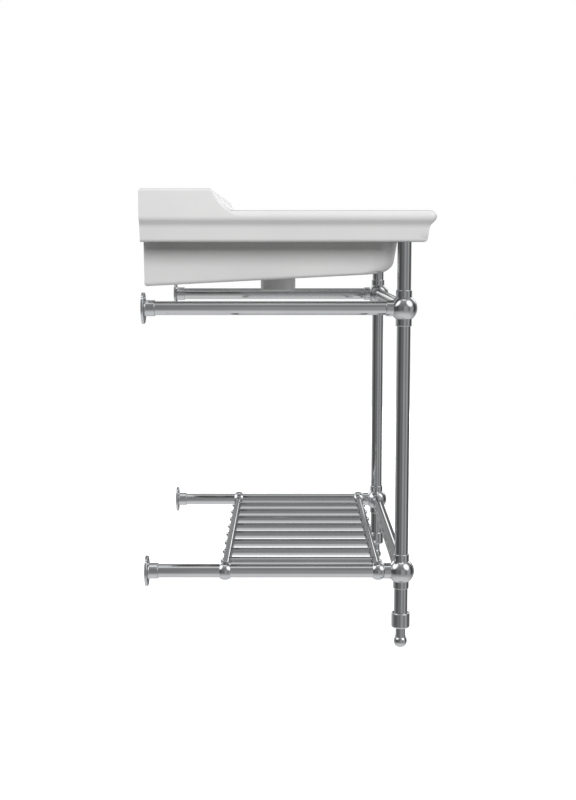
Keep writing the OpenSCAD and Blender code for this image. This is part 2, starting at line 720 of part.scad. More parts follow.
// Collar on the leg's end, with a threaded floor for the stem
module foot_collar(side) {
  color("silver") sided(side) translate([leg_x, leg_y, foot_low_z]) difference() {
    rotate_extrude() {
      intersection() {
        round_end_profile(foot_collar_d / 2, foot_collar_h, foot_collar_top_r);
        translate([0, foot_collar_h]) mirror([0, 1])
          round_end_profile(foot_collar_d / 2, foot_collar_h, foot_collar_low_r);
      }
    }
    translate([0, 0, -overrun]) cylinder(r = stem_d / 2 + stem_fit, h = foot_collar_h + 2 * overrun);
    translate([0, 0, foot_collar_floor]) cylinder(r = tube_r + tube_fit, h = foot_collar_h);
    foot_screw_place() cylinder(r = set_screw_d / 2 + set_screw_fit, h = foot_collar_d);
  }
}
module foot_screw_place() {
  translate([0, 0, foot_collar_h - foot_screw_drop - set_screw_d]) to_wall() children();
}
module foot_stem(side) {
  color("silver") sided(side) translate([leg_x, leg_y, 0]) {
    translate([0, 0, foot_h]) cylinder(r = stem_d / 2, h = stem_show + foot_collar_floor + stem_up);
    translate([0, 0, foot_h - pin_len]) cylinder(r = pin_d / 2, h = pin_len + overrun);
  }
}
module foot_ball(side) {
  centre_z = sqrt(foot_ball_d ^ 2 - foot_flat_d ^ 2) / 2;
  color("silver") sided(side) translate([leg_x, leg_y, 0]) difference() {
    union() {
      intersection() {
        translate([0, 0, centre_z]) sphere(foot_ball_d / 2);
        cylinder(r = foot_ball_d, h = foot_h);
      }
      translate([0, 0, centre_z]) cylinder(r = foot_neck_d / 2, h = foot_h - centre_z);
    }
    translate([0, 0, foot_h - pin_len]) cylinder(r = pin_d / 2, h = pin_len + overrun);
  }
}

// Set screw from a tube's surface to just inside its collar's outside
module set_screw(from_r, to_r) {
  translate([0, 0, from_r + eps_fit]) difference() {
    cylinder(r = set_screw_d / 2, h = to_r - from_r - 2 * eps_fit);
    translate([0, 0, to_r - from_r - hex_t]) cylinder(r = hex_d / 2, h = hex_t, $fn = 6);
  }
}
module set_screws() {
  color("dimgray") for (side = [-1, 1]) sided(side) {
    for (z = [lower_z, upper_z]) {
      translate([leg_x, leg_y, z]) ball_screw_places() set_screw(tube_r, collar_d / 2);
      translate([leg_x, wall_y, z]) to_front() flange_screw_place() set_screw(tube_r, collar_d / 2);
    }
    for (y = [front_bar_y, rear_bar_y])
      translate([leg_x, y, lower_z]) neck_screw_place() set_screw(bar_r, neck_d / 2);
    translate([leg_x, leg_y, foot_low_z]) foot_screw_place() set_screw(tube_r, foot_collar_d / 2);
  }
}

basin();
leg_pad(-1);  // leg_pad_left
leg_pad(1);  // leg_pad_right
leg_length(-1, upper_z + tube_seat, leg_top_z);  // leg_top_left
leg_length(1, upper_z + tube_seat, leg_top_z);  // leg_top_right
leg_length(-1, lower_z + tube_seat, upper_z - tube_seat);  // leg_middle_left
leg_length(1, lower_z + tube_seat, upper_z - tube_seat);  // leg_middle_right
leg_length(-1, foot_seat_z, lower_z - tube_seat);  // leg_bottom_left
leg_length(1, foot_seat_z, lower_z - tube_seat);  // leg_bottom_right
ball_joint(-1, upper_z);  // upper_ball_left
ball_joint(1, upper_z);  // upper_ball_right
ball_joint(-1, lower_z);  // lower_ball_left
ball_joint(1, lower_z);  // lower_ball_right
side_rail(-1, upper_z);  // upper_rail_left
side_rail(1, upper_z);  // upper_rail_right
side_rail(-1, lower_z);  // lower_rail_left
side_rail(1, lower_z);  // lower_rail_right
cross_rail(upper_z);  // towel_rail
cross_rail(lower_z);  // lower_cross_rail
wall_flange(-1, upper_z);  // upper_flange_left
wall_flange(1, upper_z);  // upper_flange_right
wall_flange(-1, lower_z);  // lower_flange_left
wall_flange(1, lower_z);  // lower_flange_right
rack_ball(-1, front_bar_y);  // rack_ball_front_left
rack_ball(1, front_bar_y);  // rack_ball_front_right
rack_ball(-1, rear_bar_y);  // rack_ball_rear_left
rack_ball(1, rear_bar_y);  // rack_ball_rear_right
rack_bar(front_bar_y);  // rack_bar_front
rack_bar(rear_bar_y);  // rack_bar_rear
for (i = [0 : slats - 1]) slat(i);
slat_plugs();
slat_screws(1);  // slat_screws_front
slat_screws(-1);  // slat_screws_rear
foot_collar(-1);  // foot_collar_left
foot_collar(1);  // foot_collar_right
foot_stem(-1);  // foot_stem_left
foot_stem(1);  // foot_stem_right
foot_ball(-1);  // foot_ball_left
foot_ball(1);  // foot_ball_right
set_screws();
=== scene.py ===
"""Console basin on a two-legged tube washstand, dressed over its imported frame.

Lengths are in millimetres and are turned into metres where a piece becomes a mesh.
X runs across, -Y is the front, +Y the wall and +Z up, as in the frame.
"""
import json
import math

import bmesh
import bpy
import numpy as np
from mathutils import Matrix, Vector


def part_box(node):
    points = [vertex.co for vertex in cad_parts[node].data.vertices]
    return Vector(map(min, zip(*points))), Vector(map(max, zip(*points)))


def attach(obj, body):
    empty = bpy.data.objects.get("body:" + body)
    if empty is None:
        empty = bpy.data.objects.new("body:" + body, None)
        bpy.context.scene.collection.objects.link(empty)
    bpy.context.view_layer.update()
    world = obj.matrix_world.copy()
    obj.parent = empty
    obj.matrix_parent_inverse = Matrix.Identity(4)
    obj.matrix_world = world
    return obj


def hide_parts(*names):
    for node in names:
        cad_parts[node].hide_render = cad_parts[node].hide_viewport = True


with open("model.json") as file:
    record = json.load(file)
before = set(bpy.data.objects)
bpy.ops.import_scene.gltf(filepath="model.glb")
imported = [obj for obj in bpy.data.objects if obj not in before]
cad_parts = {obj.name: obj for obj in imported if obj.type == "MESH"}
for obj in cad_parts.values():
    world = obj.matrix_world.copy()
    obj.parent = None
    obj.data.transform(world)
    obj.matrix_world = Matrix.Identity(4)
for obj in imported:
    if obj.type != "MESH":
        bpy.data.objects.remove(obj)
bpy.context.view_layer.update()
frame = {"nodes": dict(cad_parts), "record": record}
nodes = frame["nodes"]
scene = bpy.context.scene
MM = 0.001

# Points closer than this, in metres, are merged, and edges sharper than the angle stay sharp
weld_gap, sharp_angle = 2e-6, math.radians(30)

# Basin, from the frame and from its maker's sizes
basin_low, basin_high = (np.array(corner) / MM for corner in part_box("basin"))
lip_x, lip_y, wall_y = basin_high[0], basin_low[1], basin_high[1]
ledge_rise = 38.6
rim_z = basin_high[2] - ledge_rise
rim_h, roll_r, land_drop, quirk_len, cove_r = 56.6, 11.0, 3.0, 7.4, 15.0
fascia_lean, fascia_edge_r, lip_corner_r = 8.0, 7.0, 13.0
roll_in, land_in = 15.0, 28.0
ledge_d, slope_d, slope_r, slope_top_r, ledge_edge_r = 130.0, 33.0, 74.0, 6.0, 5.0
slope_tail_drop = 6.0
body_side_inset, body_front_inset, side_lean, front_lean = 77.0, 60.5, 5.0, 10.0
body_drop, bottom_rise, body_corner_r = 81.8, 2.98, 55.0
body_front_r, body_edge_r, body_back_r = 29.0, 7.0, 5.0
bowl_w, bowl_front_inset, bowl_back_inset, bowl_depth, floor_fall = 600.0, 62.0, 174.0, 95.0, 7.0
bowl_corner_r, bowl_lip_r, bowl_floor_r, bowl_back_r = 95.0, 8.0, 45.0, 18.0
bowl_lean, bowl_back_lean, bowl_frame, floor_curve = 10.0, 3.0, 1.75, 1.5
corner_follow_share = 0.6
waste_back, waste_d, waste_seat_d, waste_seat_t = 246.0, 45.0, 66.0, 3.0
boss_d, boss_drop, boss_edge_r, boss_fillet = 72.0, 30.0, 3.0, 4.0
deck_t, shell_t, hollow_corner_r, pocket_inset = 14.0, 12.0, 6.0, 28.96
tap_d, tap_spread, tap_back = 35.0, 203.2, 63.5
overflow_d, overflow_drop, passage_d, passage_wall = 22.0, 30.0, 14.0, 4.5
wall_bolt_d, wall_bolt_spread, wall_bolt_low = 12.0, 280.0, 9.0
leg_recess, leg_recess_fit, leg_block = 8.0, 0.5, 22.0
leg_side_inset, leg_front_inset = 39.7, 54.85
leg_x, leg_y = lip_x - leg_side_inset, lip_y + leg_front_inset
glaze_r, hole_r, mouth_end, fillet_w, overrun = 0.8, 1.4, 100.0, 2.5, 1.0
rim_low, land_z = rim_z - rim_h, rim_z - land_drop
deck_low = land_z - deck_t

# How squarely a face looks at the wall before it is left unglazed
flat_to_wall = 0.999

# Cells of the basin's grids, along its straights, round its corners and over its roundings
half_corner, back_cells, side_cells, lip_cells, face_cells = 10, 24, 8, 12, 8
land_cells, roll_cells, quirk_cells, cove_cells, fascia_edge_cells = 10, 18, 9, 10, 8
ledge_edge_cells, ledge_cells, slope_cells = 6, 6, 36
frame_cells, bowl_lip_cells, bowl_wall_cells, bowl_floor_cells, fall_cells = 6, 10, 6, 18, 14
glaze_cells, boss_cells, mouth_cells, underside_cells = 4, 6, 6, 5
body_edge_cells, body_wall_cells = 15, 6

# Power by which the cells beside the bowl's rear corners crowd towards the ledge
crowding = 1.8

# Stand
tube_r, tube_wall, bar_r, slat_r, slat_wall = 12.7, 1.5, 8.25, 8.0, 1.2
tube_sides, hole_sides, end_edge, saddle_fit = 96, 64, 0.3, 0.05
slat_count = 8

# Camera: its place in metres, its pitch in degrees, and its lens and sensor in millimetres
eye_at, eye_pitch, lens, sensor = (-2.695, 0, 0.7557), 6.95, 57.85, 36.0

# Studio: brightness by height in degrees and, near the horizon, by turn in degrees from -X towards +Y
room_by_height = [
    (-90, 0.92), (-51, 0.88), (-40, 0.66), (-30, 0.54), (-16, 0.44), (0, 0.42), (12, 0.32),
    (40, 0.31), (58, 0.46), (70, 0.44), (75, 1.7), (79, 1.7), (84, 0.44), (90, 0.42)]
room_by_turn = [
    (-180, 0.34), (-172, 0.16), (-160, 0.14), (-150, 0.50), (-128, 0.26), (-106, 0.05), (-92, 0.12),
    (-81, 0.44), (-60, 0.56), (-43, 0.24), (-25, 0.44), (-9, 0.48), (3, 0.40), (10, 0.19), (28, 0.24),
    (43, 0.20), (60, 0.11), (81, 0.11), (105, 0.26), (137, 0.65), (150, 0.60), (164, 0.32), (180, 0.34)]

# Sines of the heights between which the ramp by turn gives way to the ramp by height
horizon_band = (0.25, 0.5)

# Softboxes that the finishes mirror: direction, half angles of core and edge in degrees, brightness
softboxes = [
    ((-0.11, 0.76, 0.64), 2, 32, 1.9), ((-0.42, -0.66, 0.62), 2, 32, 1.9),
    ((0.75, -0.51, 0.43), 3, 20, 1.6), ((0.75, 0.51, 0.43), 3, 20, 1.6),
    ((0.970, -0.136, 0.204), 1, 4, 1.5), ((0.997, 0.0, 0.08), 1, 5, 0.75)]
ambient_share, floor_glow, floor_reach = 0.40, 0.72, 9.0

# Lamps that only matt and glazed surfaces take up: turn, height, distance, size and power
washes = {
    "wash_at_left": (0, 24, 3.2, 1.25, 61), "wash_at_right": (180, 6, 3.2, 1.25, 48),
    "wash_in_front": (-90, 16, 3.2, 2.4, 30)}


def camera():
    """The photograph's camera: level with the rim's lower edge, looking to +X and a little down."""
    sine, cosine = math.sin(math.radians(eye_pitch)), math.cos(math.radians(eye_pitch))
    data = bpy.data.cameras.new("camera")
    data.lens, data.sensor_width, data.sensor_fit = lens, sensor, "AUTO"
    eye = bpy.data.objects.new("camera", data)
    scene.collection.objects.link(eye)
    right, up, back = (0, -1, 0), (sine, 0, cosine), (-cosine, 0, sine)
    turn = Matrix((right, up, back)).transposed().to_4x4()
    eye.matrix_world = Matrix.Translation(eye_at) @ turn
    scene.camera = eye


class Skin:
    """Grids and polygons in millimetres that are merged to one closed mesh."""

    def __init__(self):
        self.points, self.faces, self.count = [], [], 0

    def add(self, points, faces):
        """Points, and faces that count from the first of them."""
        self.points.append(points.reshape(-1, 3))
        self.faces += (np.asarray(faces) + self.count).tolist()
        self.count += points.size // 3

    def grid(self, points, closed=False):
        """Quads between the neighbours of an array of rows of points, closed round each row if asked."""
        rows, columns = points.shape[:2]
        index = np.arange(rows * columns).reshape(rows, columns)
        if closed:
            index = np.concatenate([index, index[:, :1]], axis=1)
        quads = np.stack([index[:-1, :-1], index[:-1, 1:], index[1:, 1:], index[1:, :-1]], axis=-1)
        self.add(points, quads.reshape(-1, 4))

    def polygon(self, points):
        """One flat face with a row of points round it."""
        self.add(points, np.arange(len(points))[None])

    def mesh(self, name):
        """The mesh in metres, with its points merged and its faces turned outwards."""
        made = bpy.data.meshes.new(name)
        made.from_pydata(np.concatenate(self.points) * MM, [], self.faces)
        whole = bmesh.new()
        whole.from_mesh(made)
        bmesh.ops.remove_doubles(whole, verts=whole.verts, dist=weld_gap)
        bmesh.ops.recalc_face_normals(whole, faces=whole.faces)
        whole.to_mesh(made)
        whole.free()
        return made


def soften(mesh):
    """Smooth shading but for the edges at sharp angles."""
    mesh.shade_smooth()
    mesh.set_sharp_from_angle(angle=sharp_angle)


def piece(name, mesh, surfaces):
    """A shown piece with its surfaces."""
    mesh.materials.clear()
    for surface in surfaces:
        mesh.materials.append(surface)
    soften(mesh)
    made = bpy.data.objects.new(name, mesh)
    scene.collection.objects.link(made)
    return made


def arc(centre, radius, start, end, steps):
    """Points on a circle round centre, at equal angles from start to end in degrees."""
    angle = np.radians(np.linspace(start, end, steps + 1))
    return np.asarray(centre) + radius * np.stack([np.cos(angle), np.sin(angle)], axis=1)


def quarter(cells):
    """Equal steps from 0 to a right angle, in radians."""
    return np.radians(np.linspace(0, 90, cells + 1))


def spaced(start, end, cells, power=1.0):
    """Numbers from start to end, closer together at the start where power is over 1."""
    return start + (end - start) * np.linspace(0, 1, cells + 1) ** power


def soft_max(a, b, width):
    """The higher of two heights, with the corner between them filled by a parabola of that width."""
    near = np.clip(1 - np.abs(a - b) / width, 0, 1)
    return np.maximum(a, b) + width * near ** 2 / 4


def round_in(h, r):
    """Inset of an edge of radius r at height h over its foot: r less the circle's half chord."""
    return r - math.sqrt(r ** 2 - (r - h) ** 2) if h < r else 0.0


def lean_of(degrees):
    """How far a lean in degrees carries a wall sideways for each millimetre of height: its tangent."""
    return math.tan(math.radians(degrees))


def with_z(plan, z):
    """A plan's points with one height, or with a height each."""
    return np.concatenate([plan, np.broadcast_to(z, len(plan))[:, None]], axis=1)


def turned(profile, centre, way, sides=tube_sides):
    """A profile of radius and height carried round an axis, 0 for X, 1 for Y and 2 for Z.

    Each point goes to its radius times (cos, sin) across the axis and to its height along it."""
    angle = np.linspace(0, 2 * np.pi, sides, endpoint=False)
    radius, height = np.asarray(profile, float).T
    along, across = np.eye(3)[way], np.eye(3)[(way + 1) % 3]
    other = np.cross(along, across)
    ring = np.cos(angle)[:, None] * across + np.sin(angle)[:, None] * other
    return np.asarray(centre) + radius[:, None, None] * ring + height[:, None, None] * along


def moulding():
    """Columns of distance outside the lip, negative inside, and height over the rim's top.

    A soft fall from the roll to the land, the roll, a stack of points for the ledge's end, the straight
    under the roll, the cove, the fascia and its lower edge. Also returns where the stack starts."""
    fall = spaced(-land_in, -roll_in, land_cells)
    share = (-fall - roll_in) / (land_in - roll_in)
    inner = np.stack([fall, -land_drop * (1 - np.cos(np.pi * share)) / 2], axis=1)
    upper = arc((-roll_r, -roll_r), roll_r, 90, 0, roll_cells)
    face = np.repeat(upper[-1:], face_cells - 1, axis=0)
    lower = arc((-roll_r, -roll_r), roll_r, 0, -45, quirk_cells)
    slant = np.array([1, -1]) / math.sqrt(2)
    cove_start = lower[-1] - quirk_len * slant * (1, -1)
    cove = arc(cove_start + cove_r * slant, cove_r, 135, 180 - fascia_lean, cove_cells)
    lean = math.radians(fascia_lean)
    edge_z = fascia_edge_r - rim_h
    edge_x = cove[-1, 0] + (math.sin(lean) * (edge_z - cove[-1, 1]) - fascia_edge_r) / math.cos(lean)
    edge = arc((edge_x, edge_z), fascia_edge_r, -fascia_lean, -90, fascia_edge_cells)
    return np.concatenate([inner, upper, face, lower, cove, edge]), len(inner) + len(upper)


def ledge_height(y):
    """Height of the ledge over the rim's top at each y.

    From the front: a tail that sinks under the roll, a hollow arc, a rounded brow, the flat top and the
    rounded edge at the wall. The hollow's centre lies over the middle of its chord."""
    head, foot = np.array([wall_y - ledge_d, ledge_rise]), np.array([wall_y - ledge_d - slope_d, 0.0])
    chord = head - foot
    length = math.hypot(*chord)
    aside = chord[::-1] * (-1, 1) / length
    centre = (head + foot) / 2 + aside * math.sqrt(slope_r ** 2 - length ** 2 / 4)
    top_z = ledge_rise - slope_top_r
    top_y = centre[0] + math.sqrt((slope_r + slope_top_r) ** 2 - (top_z - centre[1]) ** 2)
    meet_y = centre[0] + (top_y - centre[0]) * slope_r / (slope_r + slope_top_r)
    tail_y = centre[0] + math.sqrt(slope_r ** 2 - (centre[1] + slope_tail_drop) ** 2)
    past = np.maximum(tail_y - y, 0)
    steepness = (tail_y - centre[0]) / (centre[1] + slope_tail_drop)
    tail = -slope_tail_drop - past * steepness - past ** 2 / slope_d
    hollow = centre[1] - np.sqrt(np.maximum(slope_r ** 2 - (y - centre[0]) ** 2, 0))
    brow = top_z + np.sqrt(np.maximum(slope_top_r ** 2 - (y - top_y) ** 2, 0))
    edge_y = wall_y - ledge_edge_r
    edge = ledge_rise - ledge_edge_r + np.sqrt(np.maximum(ledge_edge_r ** 2 - (y - edge_y) ** 2, 0))
    flat = np.full_like(y, ledge_rise)
    return np.select([y < tail_y, y < meet_y, y < top_y, y < edge_y], [tail, hollow, brow, flat], edge)


def rim_plan(inset, side_y, front_x):
    """Plan at an inset from the lip: down the left side, round the front corners and up the right side."""
    turn = max(inset, lip_corner_r)
    corner = arc((turn - lip_x, lip_y + turn), turn - inset, 180, 270, lip_cells)
    left = np.stack([np.full_like(side_y, inset - lip_x), side_y], axis=1)
    front = np.stack([front_x, np.full_like(front_x, lip_y + inset)], axis=1)
    begin = np.concatenate([left, corner])
    return np.concatenate([begin, front, begin[::-1] * (-1, 1)])


def line(start, end, cells):
    """Points in even steps from start to end."""
    return start + (np.asarray(end, float) - start) * np.linspace(0, 1, cells + 1)[:, None]


def box_plan(x, y0, y1, r):
    """Rounded box seen from above, counterclockwise from the middle of its back right corner."""
    fine = 2 * half_corner
    return np.concatenate([
        arc((x - r, y1 - r), r, 45, 90, half_corner), line((x - r, y1), (r - x, y1), back_cells)[1:],
        arc((r - x, y1 - r), r, 90, 180, fine)[1:], line((-x, y1 - r), (-x, y0 + r), side_cells)[1:],
        arc((r - x, y0 + r), r, 180, 270, fine)[1:], line((r - x, y0), (x - r, y0), back_cells)[1:],
        arc((x - r, y0 + r), r, 270, 360, fine)[1:], line((x, y0 + r), (x, y1 - r), side_cells)[1:],
        arc((x - r, y1 - r), r, 0, 45, half_corner)[1:-1]])


def body_plan(x, y0, y1, r):
    """As box_plan, with square corners at the wall."""
    fine, side = 2 * half_corner, half_corner + side_cells
    return np.concatenate([
        line((x, y1), (-x, y1), fine + back_cells), line((-x, y1), (-x, y0 + r), side)[1:],
        arc((r - x, y0 + r), r, 180, 270, fine)[1:], line((r - x, y0), (x - r, y0), back_cells)[1:],
        arc((x - r, y0 + r), r, 270, 360, fine)[1:], line((x, y0 + r), (x, y1), side)[1:-1]])


def under_z(y):
    """Height of the body's underside, which rises steadily to the front."""
    return rim_low - body_drop + (wall_y - y) * lean_of(bottom_rise)


def land_lift(y):
    """How far the foot of the ledge lifts the land at each y."""
    return soft_max(-land_drop, ledge_height(y), fillet_w) + land_drop


def rim_strip(side_y, front_x):
    """The moulding carried round three sides.

    Over the ledge each station rises to the ledge's height less its rounded end."""
    profile, face_at = moulding()
    rows = []
    for k, (x, z) in enumerate(profile):
        plan = rim_plan(-x, side_y, front_x)
        ledge = ledge_height(plan[:, 1])
        if k < face_at:
            height = soft_max(z, ledge - round_in(min(-x, ledge_edge_r), ledge_edge_r), fillet_w)
        elif k < face_at + face_cells - 1:
            share = 1 - (k - face_at + 1) / face_cells
            height = (soft_max(-roll_r, ledge - ledge_edge_r, fillet_w) + roll_r) * share - roll_r
        else:
            height = z
        rows.append(with_z(plan, rim_z + height))
    return np.stack(rows)


def bowl_rings(edge, outside):
    """From the land's outer frame to the bowl's edge, over its lip, down its walls and round to its floor.

    Each ring is the bowl's rounded outline, drawn in by the lip's arc, the walls' lean and the foot's."""
    bowl_x, y0, y1 = bowl_w / 2, lip_y + bowl_front_inset, wall_y - bowl_back_inset
    rings = []
    for share in np.linspace(1, 0, frame_cells + 1):
        plan = edge + (outside - edge) * share
        rings.append(with_z(plan, land_z + land_lift(plan[:, 1])))
    lip = bowl_lip_r * (1 - np.cos(quarter(bowl_lip_cells)))
    wall = spaced(bowl_lip_r, bowl_depth - bowl_floor_r, bowl_wall_cells)
    foot = bowl_depth - bowl_floor_r * (1 - np.cos(quarter(bowl_floor_cells)[::-1]))
    for depth in np.concatenate([lip[1:], wall[1:], foot[1:]]):
        lip_in = math.sqrt(bowl_lip_r ** 2 - max(bowl_lip_r - depth, 0) ** 2)
        deep, rise = max(0, depth - bowl_lip_r), max(bowl_depth - depth, 0)
        inset = lip_in + deep * lean_of(bowl_lean) + round_in(rise, bowl_floor_r)
        back_in = lip_in + deep * lean_of(bowl_back_lean) + round_in(rise, bowl_back_r)
        r = bowl_corner_r - corner_follow_share * inset
        plan = box_plan(bowl_x - inset, y0 + inset, y1 - back_in, r)
        lift = land_lift(plan[:, 1]) * max(1 - depth / bowl_lip_r, 0)
        rings.append(with_z(plan, land_z - depth + lift))
    return rings


def waste_rings(plan):
    """The floor's fall to a flat round the waste, its seat and bore, and the boss out to the underside.

    Each ring keeps the directions from the waste's middle to the outline that it starts from."""
    centre = np.array([0, wall_y - waste_back])
    ray = plan - centre
    ray /= np.hypot(ray[:, 0], ray[:, 1])[:, None]
    seat_r, bore_r, boss_r = waste_seat_d / 2, waste_d / 2, boss_d / 2
    floor_z, boss_z = land_z - bowl_depth - floor_fall, under_z(centre[1]) - boss_drop
    flat = centre + ray * (seat_r + hollow_corner_r)
    rings = []
    for share in np.linspace(0, 1, fall_cells + 1)[1:]:
        fallen = land_z - bowl_depth - floor_fall * share ** floor_curve
        rings.append(with_z(plan + (flat - plan) * share, fallen))
    seat_z = floor_z - waste_seat_t
    profile = np.concatenate([
        arc((seat_r + glaze_r, floor_z - glaze_r), glaze_r, 90, 180, glaze_cells), [(seat_r, seat_z)],
        arc((bore_r + glaze_r, seat_z - glaze_r), glaze_r, 90, 180, glaze_cells),
        arc((bore_r + glaze_r, boss_z + glaze_r), glaze_r, 180, 270, glaze_cells),
        arc((boss_r - boss_edge_r, boss_z + boss_edge_r), boss_edge_r, -90, 0, boss_cells)])
    rings += [with_z(centre + ray * r, z) for r, z in profile]
    for angle in quarter(boss_cells):
        ring = centre + ray * (boss_r + boss_fillet * (1 - math.cos(angle)))
        rings.append(with_z(ring, under_z(ring[:, 1]) - boss_fillet * (1 - math.sin(angle))))
    return rings


def body_rings(inside):
    """The underside from the boss out, then the body's rounded edges and leaning sides up to the rim."""
    body_x, body_y = lip_x - body_side_inset, lip_y + body_front_inset
    front_drop = rim_low - under_z(body_y)
    turn = body_front_r * (1 - np.cos(quarter(body_edge_cells)))
    body = []
    for h in np.concatenate([turn, spaced(body_front_r, body_drop, body_wall_cells)[1:]]):
        share = h / body_drop
        side_in = (body_drop - h) * lean_of(side_lean) + round_in(h, body_edge_r)
        front_in = front_drop * (1 - share) * lean_of(front_lean) + round_in(h, body_front_r)
        r = body_corner_r - corner_follow_share * (front_in + side_in) / 2
        plan = body_plan(body_x - side_in, body_y + front_in, wall_y - round_in(h, body_back_r), r)
        foot = under_z(plan[:, 1])
        body.append(with_z(plan, foot + (rim_low - foot) * share))
    shares = np.linspace(0, 1, underside_cells + 1)[1:-1]
    spread = [inside + (body[0][:, :2] - inside) * share for share in shares]
    return [with_z(plan, under_z(plan[:, 1])) for plan in spread] + body


def basin_skin():
    """One closed skin: moulding, ledge, land, bowl, bore, boss, underside and body.

    Two flat faces close it, one at the wall and one under the rim."""
    skin = Skin()
    y0, y1 = lip_y + bowl_front_inset, wall_y - bowl_back_inset
    cut_y, in_x, in_y = y1 + bowl_frame, lip_x - land_in, lip_y + land_in
    run_x, run_y0, run_y1 = bowl_w / 2 - bowl_corner_r, y0 + bowl_corner_r, y1 - bowl_corner_r
    behind = np.concatenate([
        spaced(in_x, run_x, half_corner), spaced(run_x, -run_x, back_cells)[1:],
        spaced(-run_x, -in_x, half_corner)[1:]])
    side = np.concatenate([
        spaced(cut_y, run_y1, half_corner, crowding), spaced(run_y1, run_y0, side_cells)[1:],
        spaced(run_y0, in_y, half_corner)[1:]])
    brow_y = wall_y - ledge_d + slope_top_r
    rows = np.concatenate([
        wall_y - ledge_edge_r + ledge_edge_r * np.cos(quarter(ledge_edge_cells)),
        spaced(wall_y - ledge_edge_r, brow_y, ledge_cells)[1:], spaced(brow_y, cut_y, slope_cells)[1:]])
    strip = rim_strip(np.concatenate([rows, side[1:-1]]), -behind[1:-1])
    skin.grid(strip)
    across, back = np.meshgrid(behind[::-1], rows)
    ledge = np.stack([across, back, rim_z + soft_max(-land_drop, ledge_height(back), fillet_w)], axis=-1)
    skin.grid(ledge)
    outside = np.concatenate([
        np.stack([behind, np.full_like(behind, cut_y)], axis=1),
        np.stack([np.full(len(side) - 1, -in_x), side[1:]], axis=1),
        np.stack([-behind[1:], np.full(len(behind) - 1, in_y)], axis=1),
        np.stack([np.full(len(side) - 2, in_x), side[1:-1][::-1]], axis=1)])
    rings = bowl_rings(box_plan(bowl_w / 2, y0, y1, bowl_corner_r), outside)
    rings += waste_rings(rings[-1][:, :2])
    rings += body_rings(rings[-1][:, :2])
    skin.grid(np.stack(rings), closed=True)
    top, corner = rings[-1], len(behind) - 1
    skin.polygon(np.concatenate([strip[::-1, 0], ledge[0, 1:-1], strip[:, -1], top[:corner + 1]]))
    skin.polygon(np.concatenate([strip[-1], top[:1], top[:corner - 1:-1]]))
    return skin


def prism(low_plan, low, high_plan, high):
    """Closed solid between two outlines that have the same number of points."""
    skin = Skin()
    skin.grid(np.stack([with_z(low_plan, low), with_z(high_plan, high)]), closed=True)
    skin.polygon(with_z(low_plan, low))
    skin.polygon(with_z(high_plan, high))
    return skin.mesh("hollow")


def hollow(x, y0, y1, low, high):
    """Upright hollow between two heights, with a rounded plan."""
    plan = box_plan(x, y0, y1, hollow_corner_r)
    return prism(plan, low, plan, high)


def rod(profile, centre, way):
    """Closed turned solid whose profile starts and ends on its axis."""
    skin = Skin()
    skin.grid(turned(profile, centre, way, hole_sides), closed=True)
    return skin.mesh("hole")


def hole(r, depth, beyond):
    """Profile of a hole that runs beyond its depth.

    Its mouth, at height 0, widens on an arc that stops short of the surface."""
    mouth = arc((r + hole_r, -hole_r), hole_r, 180, mouth_end, mouth_cells)
    lip = mouth[-1] + (0, overrun)
    return np.concatenate([[(0, -depth - beyond), (r, -depth - beyond)], mouth, [lip, (0, lip[1])]])


def bar(r, start, end):
    """Profile of a plain round bar between two heights."""
    return [(0, start), (r, start), (r, end), (0, end)]


def under_rim():
    """Hollow under the rim's deck, round the body's leaning sides and solid over each leg."""
    x, y0, y1 = lip_x - pocket_inset, lip_y + pocket_inset, wall_y - shell_t
    block_x, block_y = leg_x - leg_block, leg_y + leg_block
    outer = [(-x, y1), (-x, block_y), (-block_x, block_y), (-block_x, y0),
             (block_x, y0), (block_x, block_y), (x, block_y), (x, y1)]

    def plan(z):
        rise = z - rim_low
        inner_x = lip_x - body_side_inset + rise * lean_of(side_lean)
        inner_y = lip_y + body_front_inset - rise * lean_of(front_lean)
        turn = (body_corner_r - inner_x, inner_y + body_corner_r)
        left = arc(turn, body_corner_r, 180, 270, half_corner)
        inner = np.concatenate([[(-inner_x, y1)], left, left[::-1] * (-1, 1), [(inner_x, y1)]])
        return np.concatenate([outer, inner[::-1]])

    return prism(plan(rim_low - overrun), rim_low - overrun, plan(deck_low), deck_low)


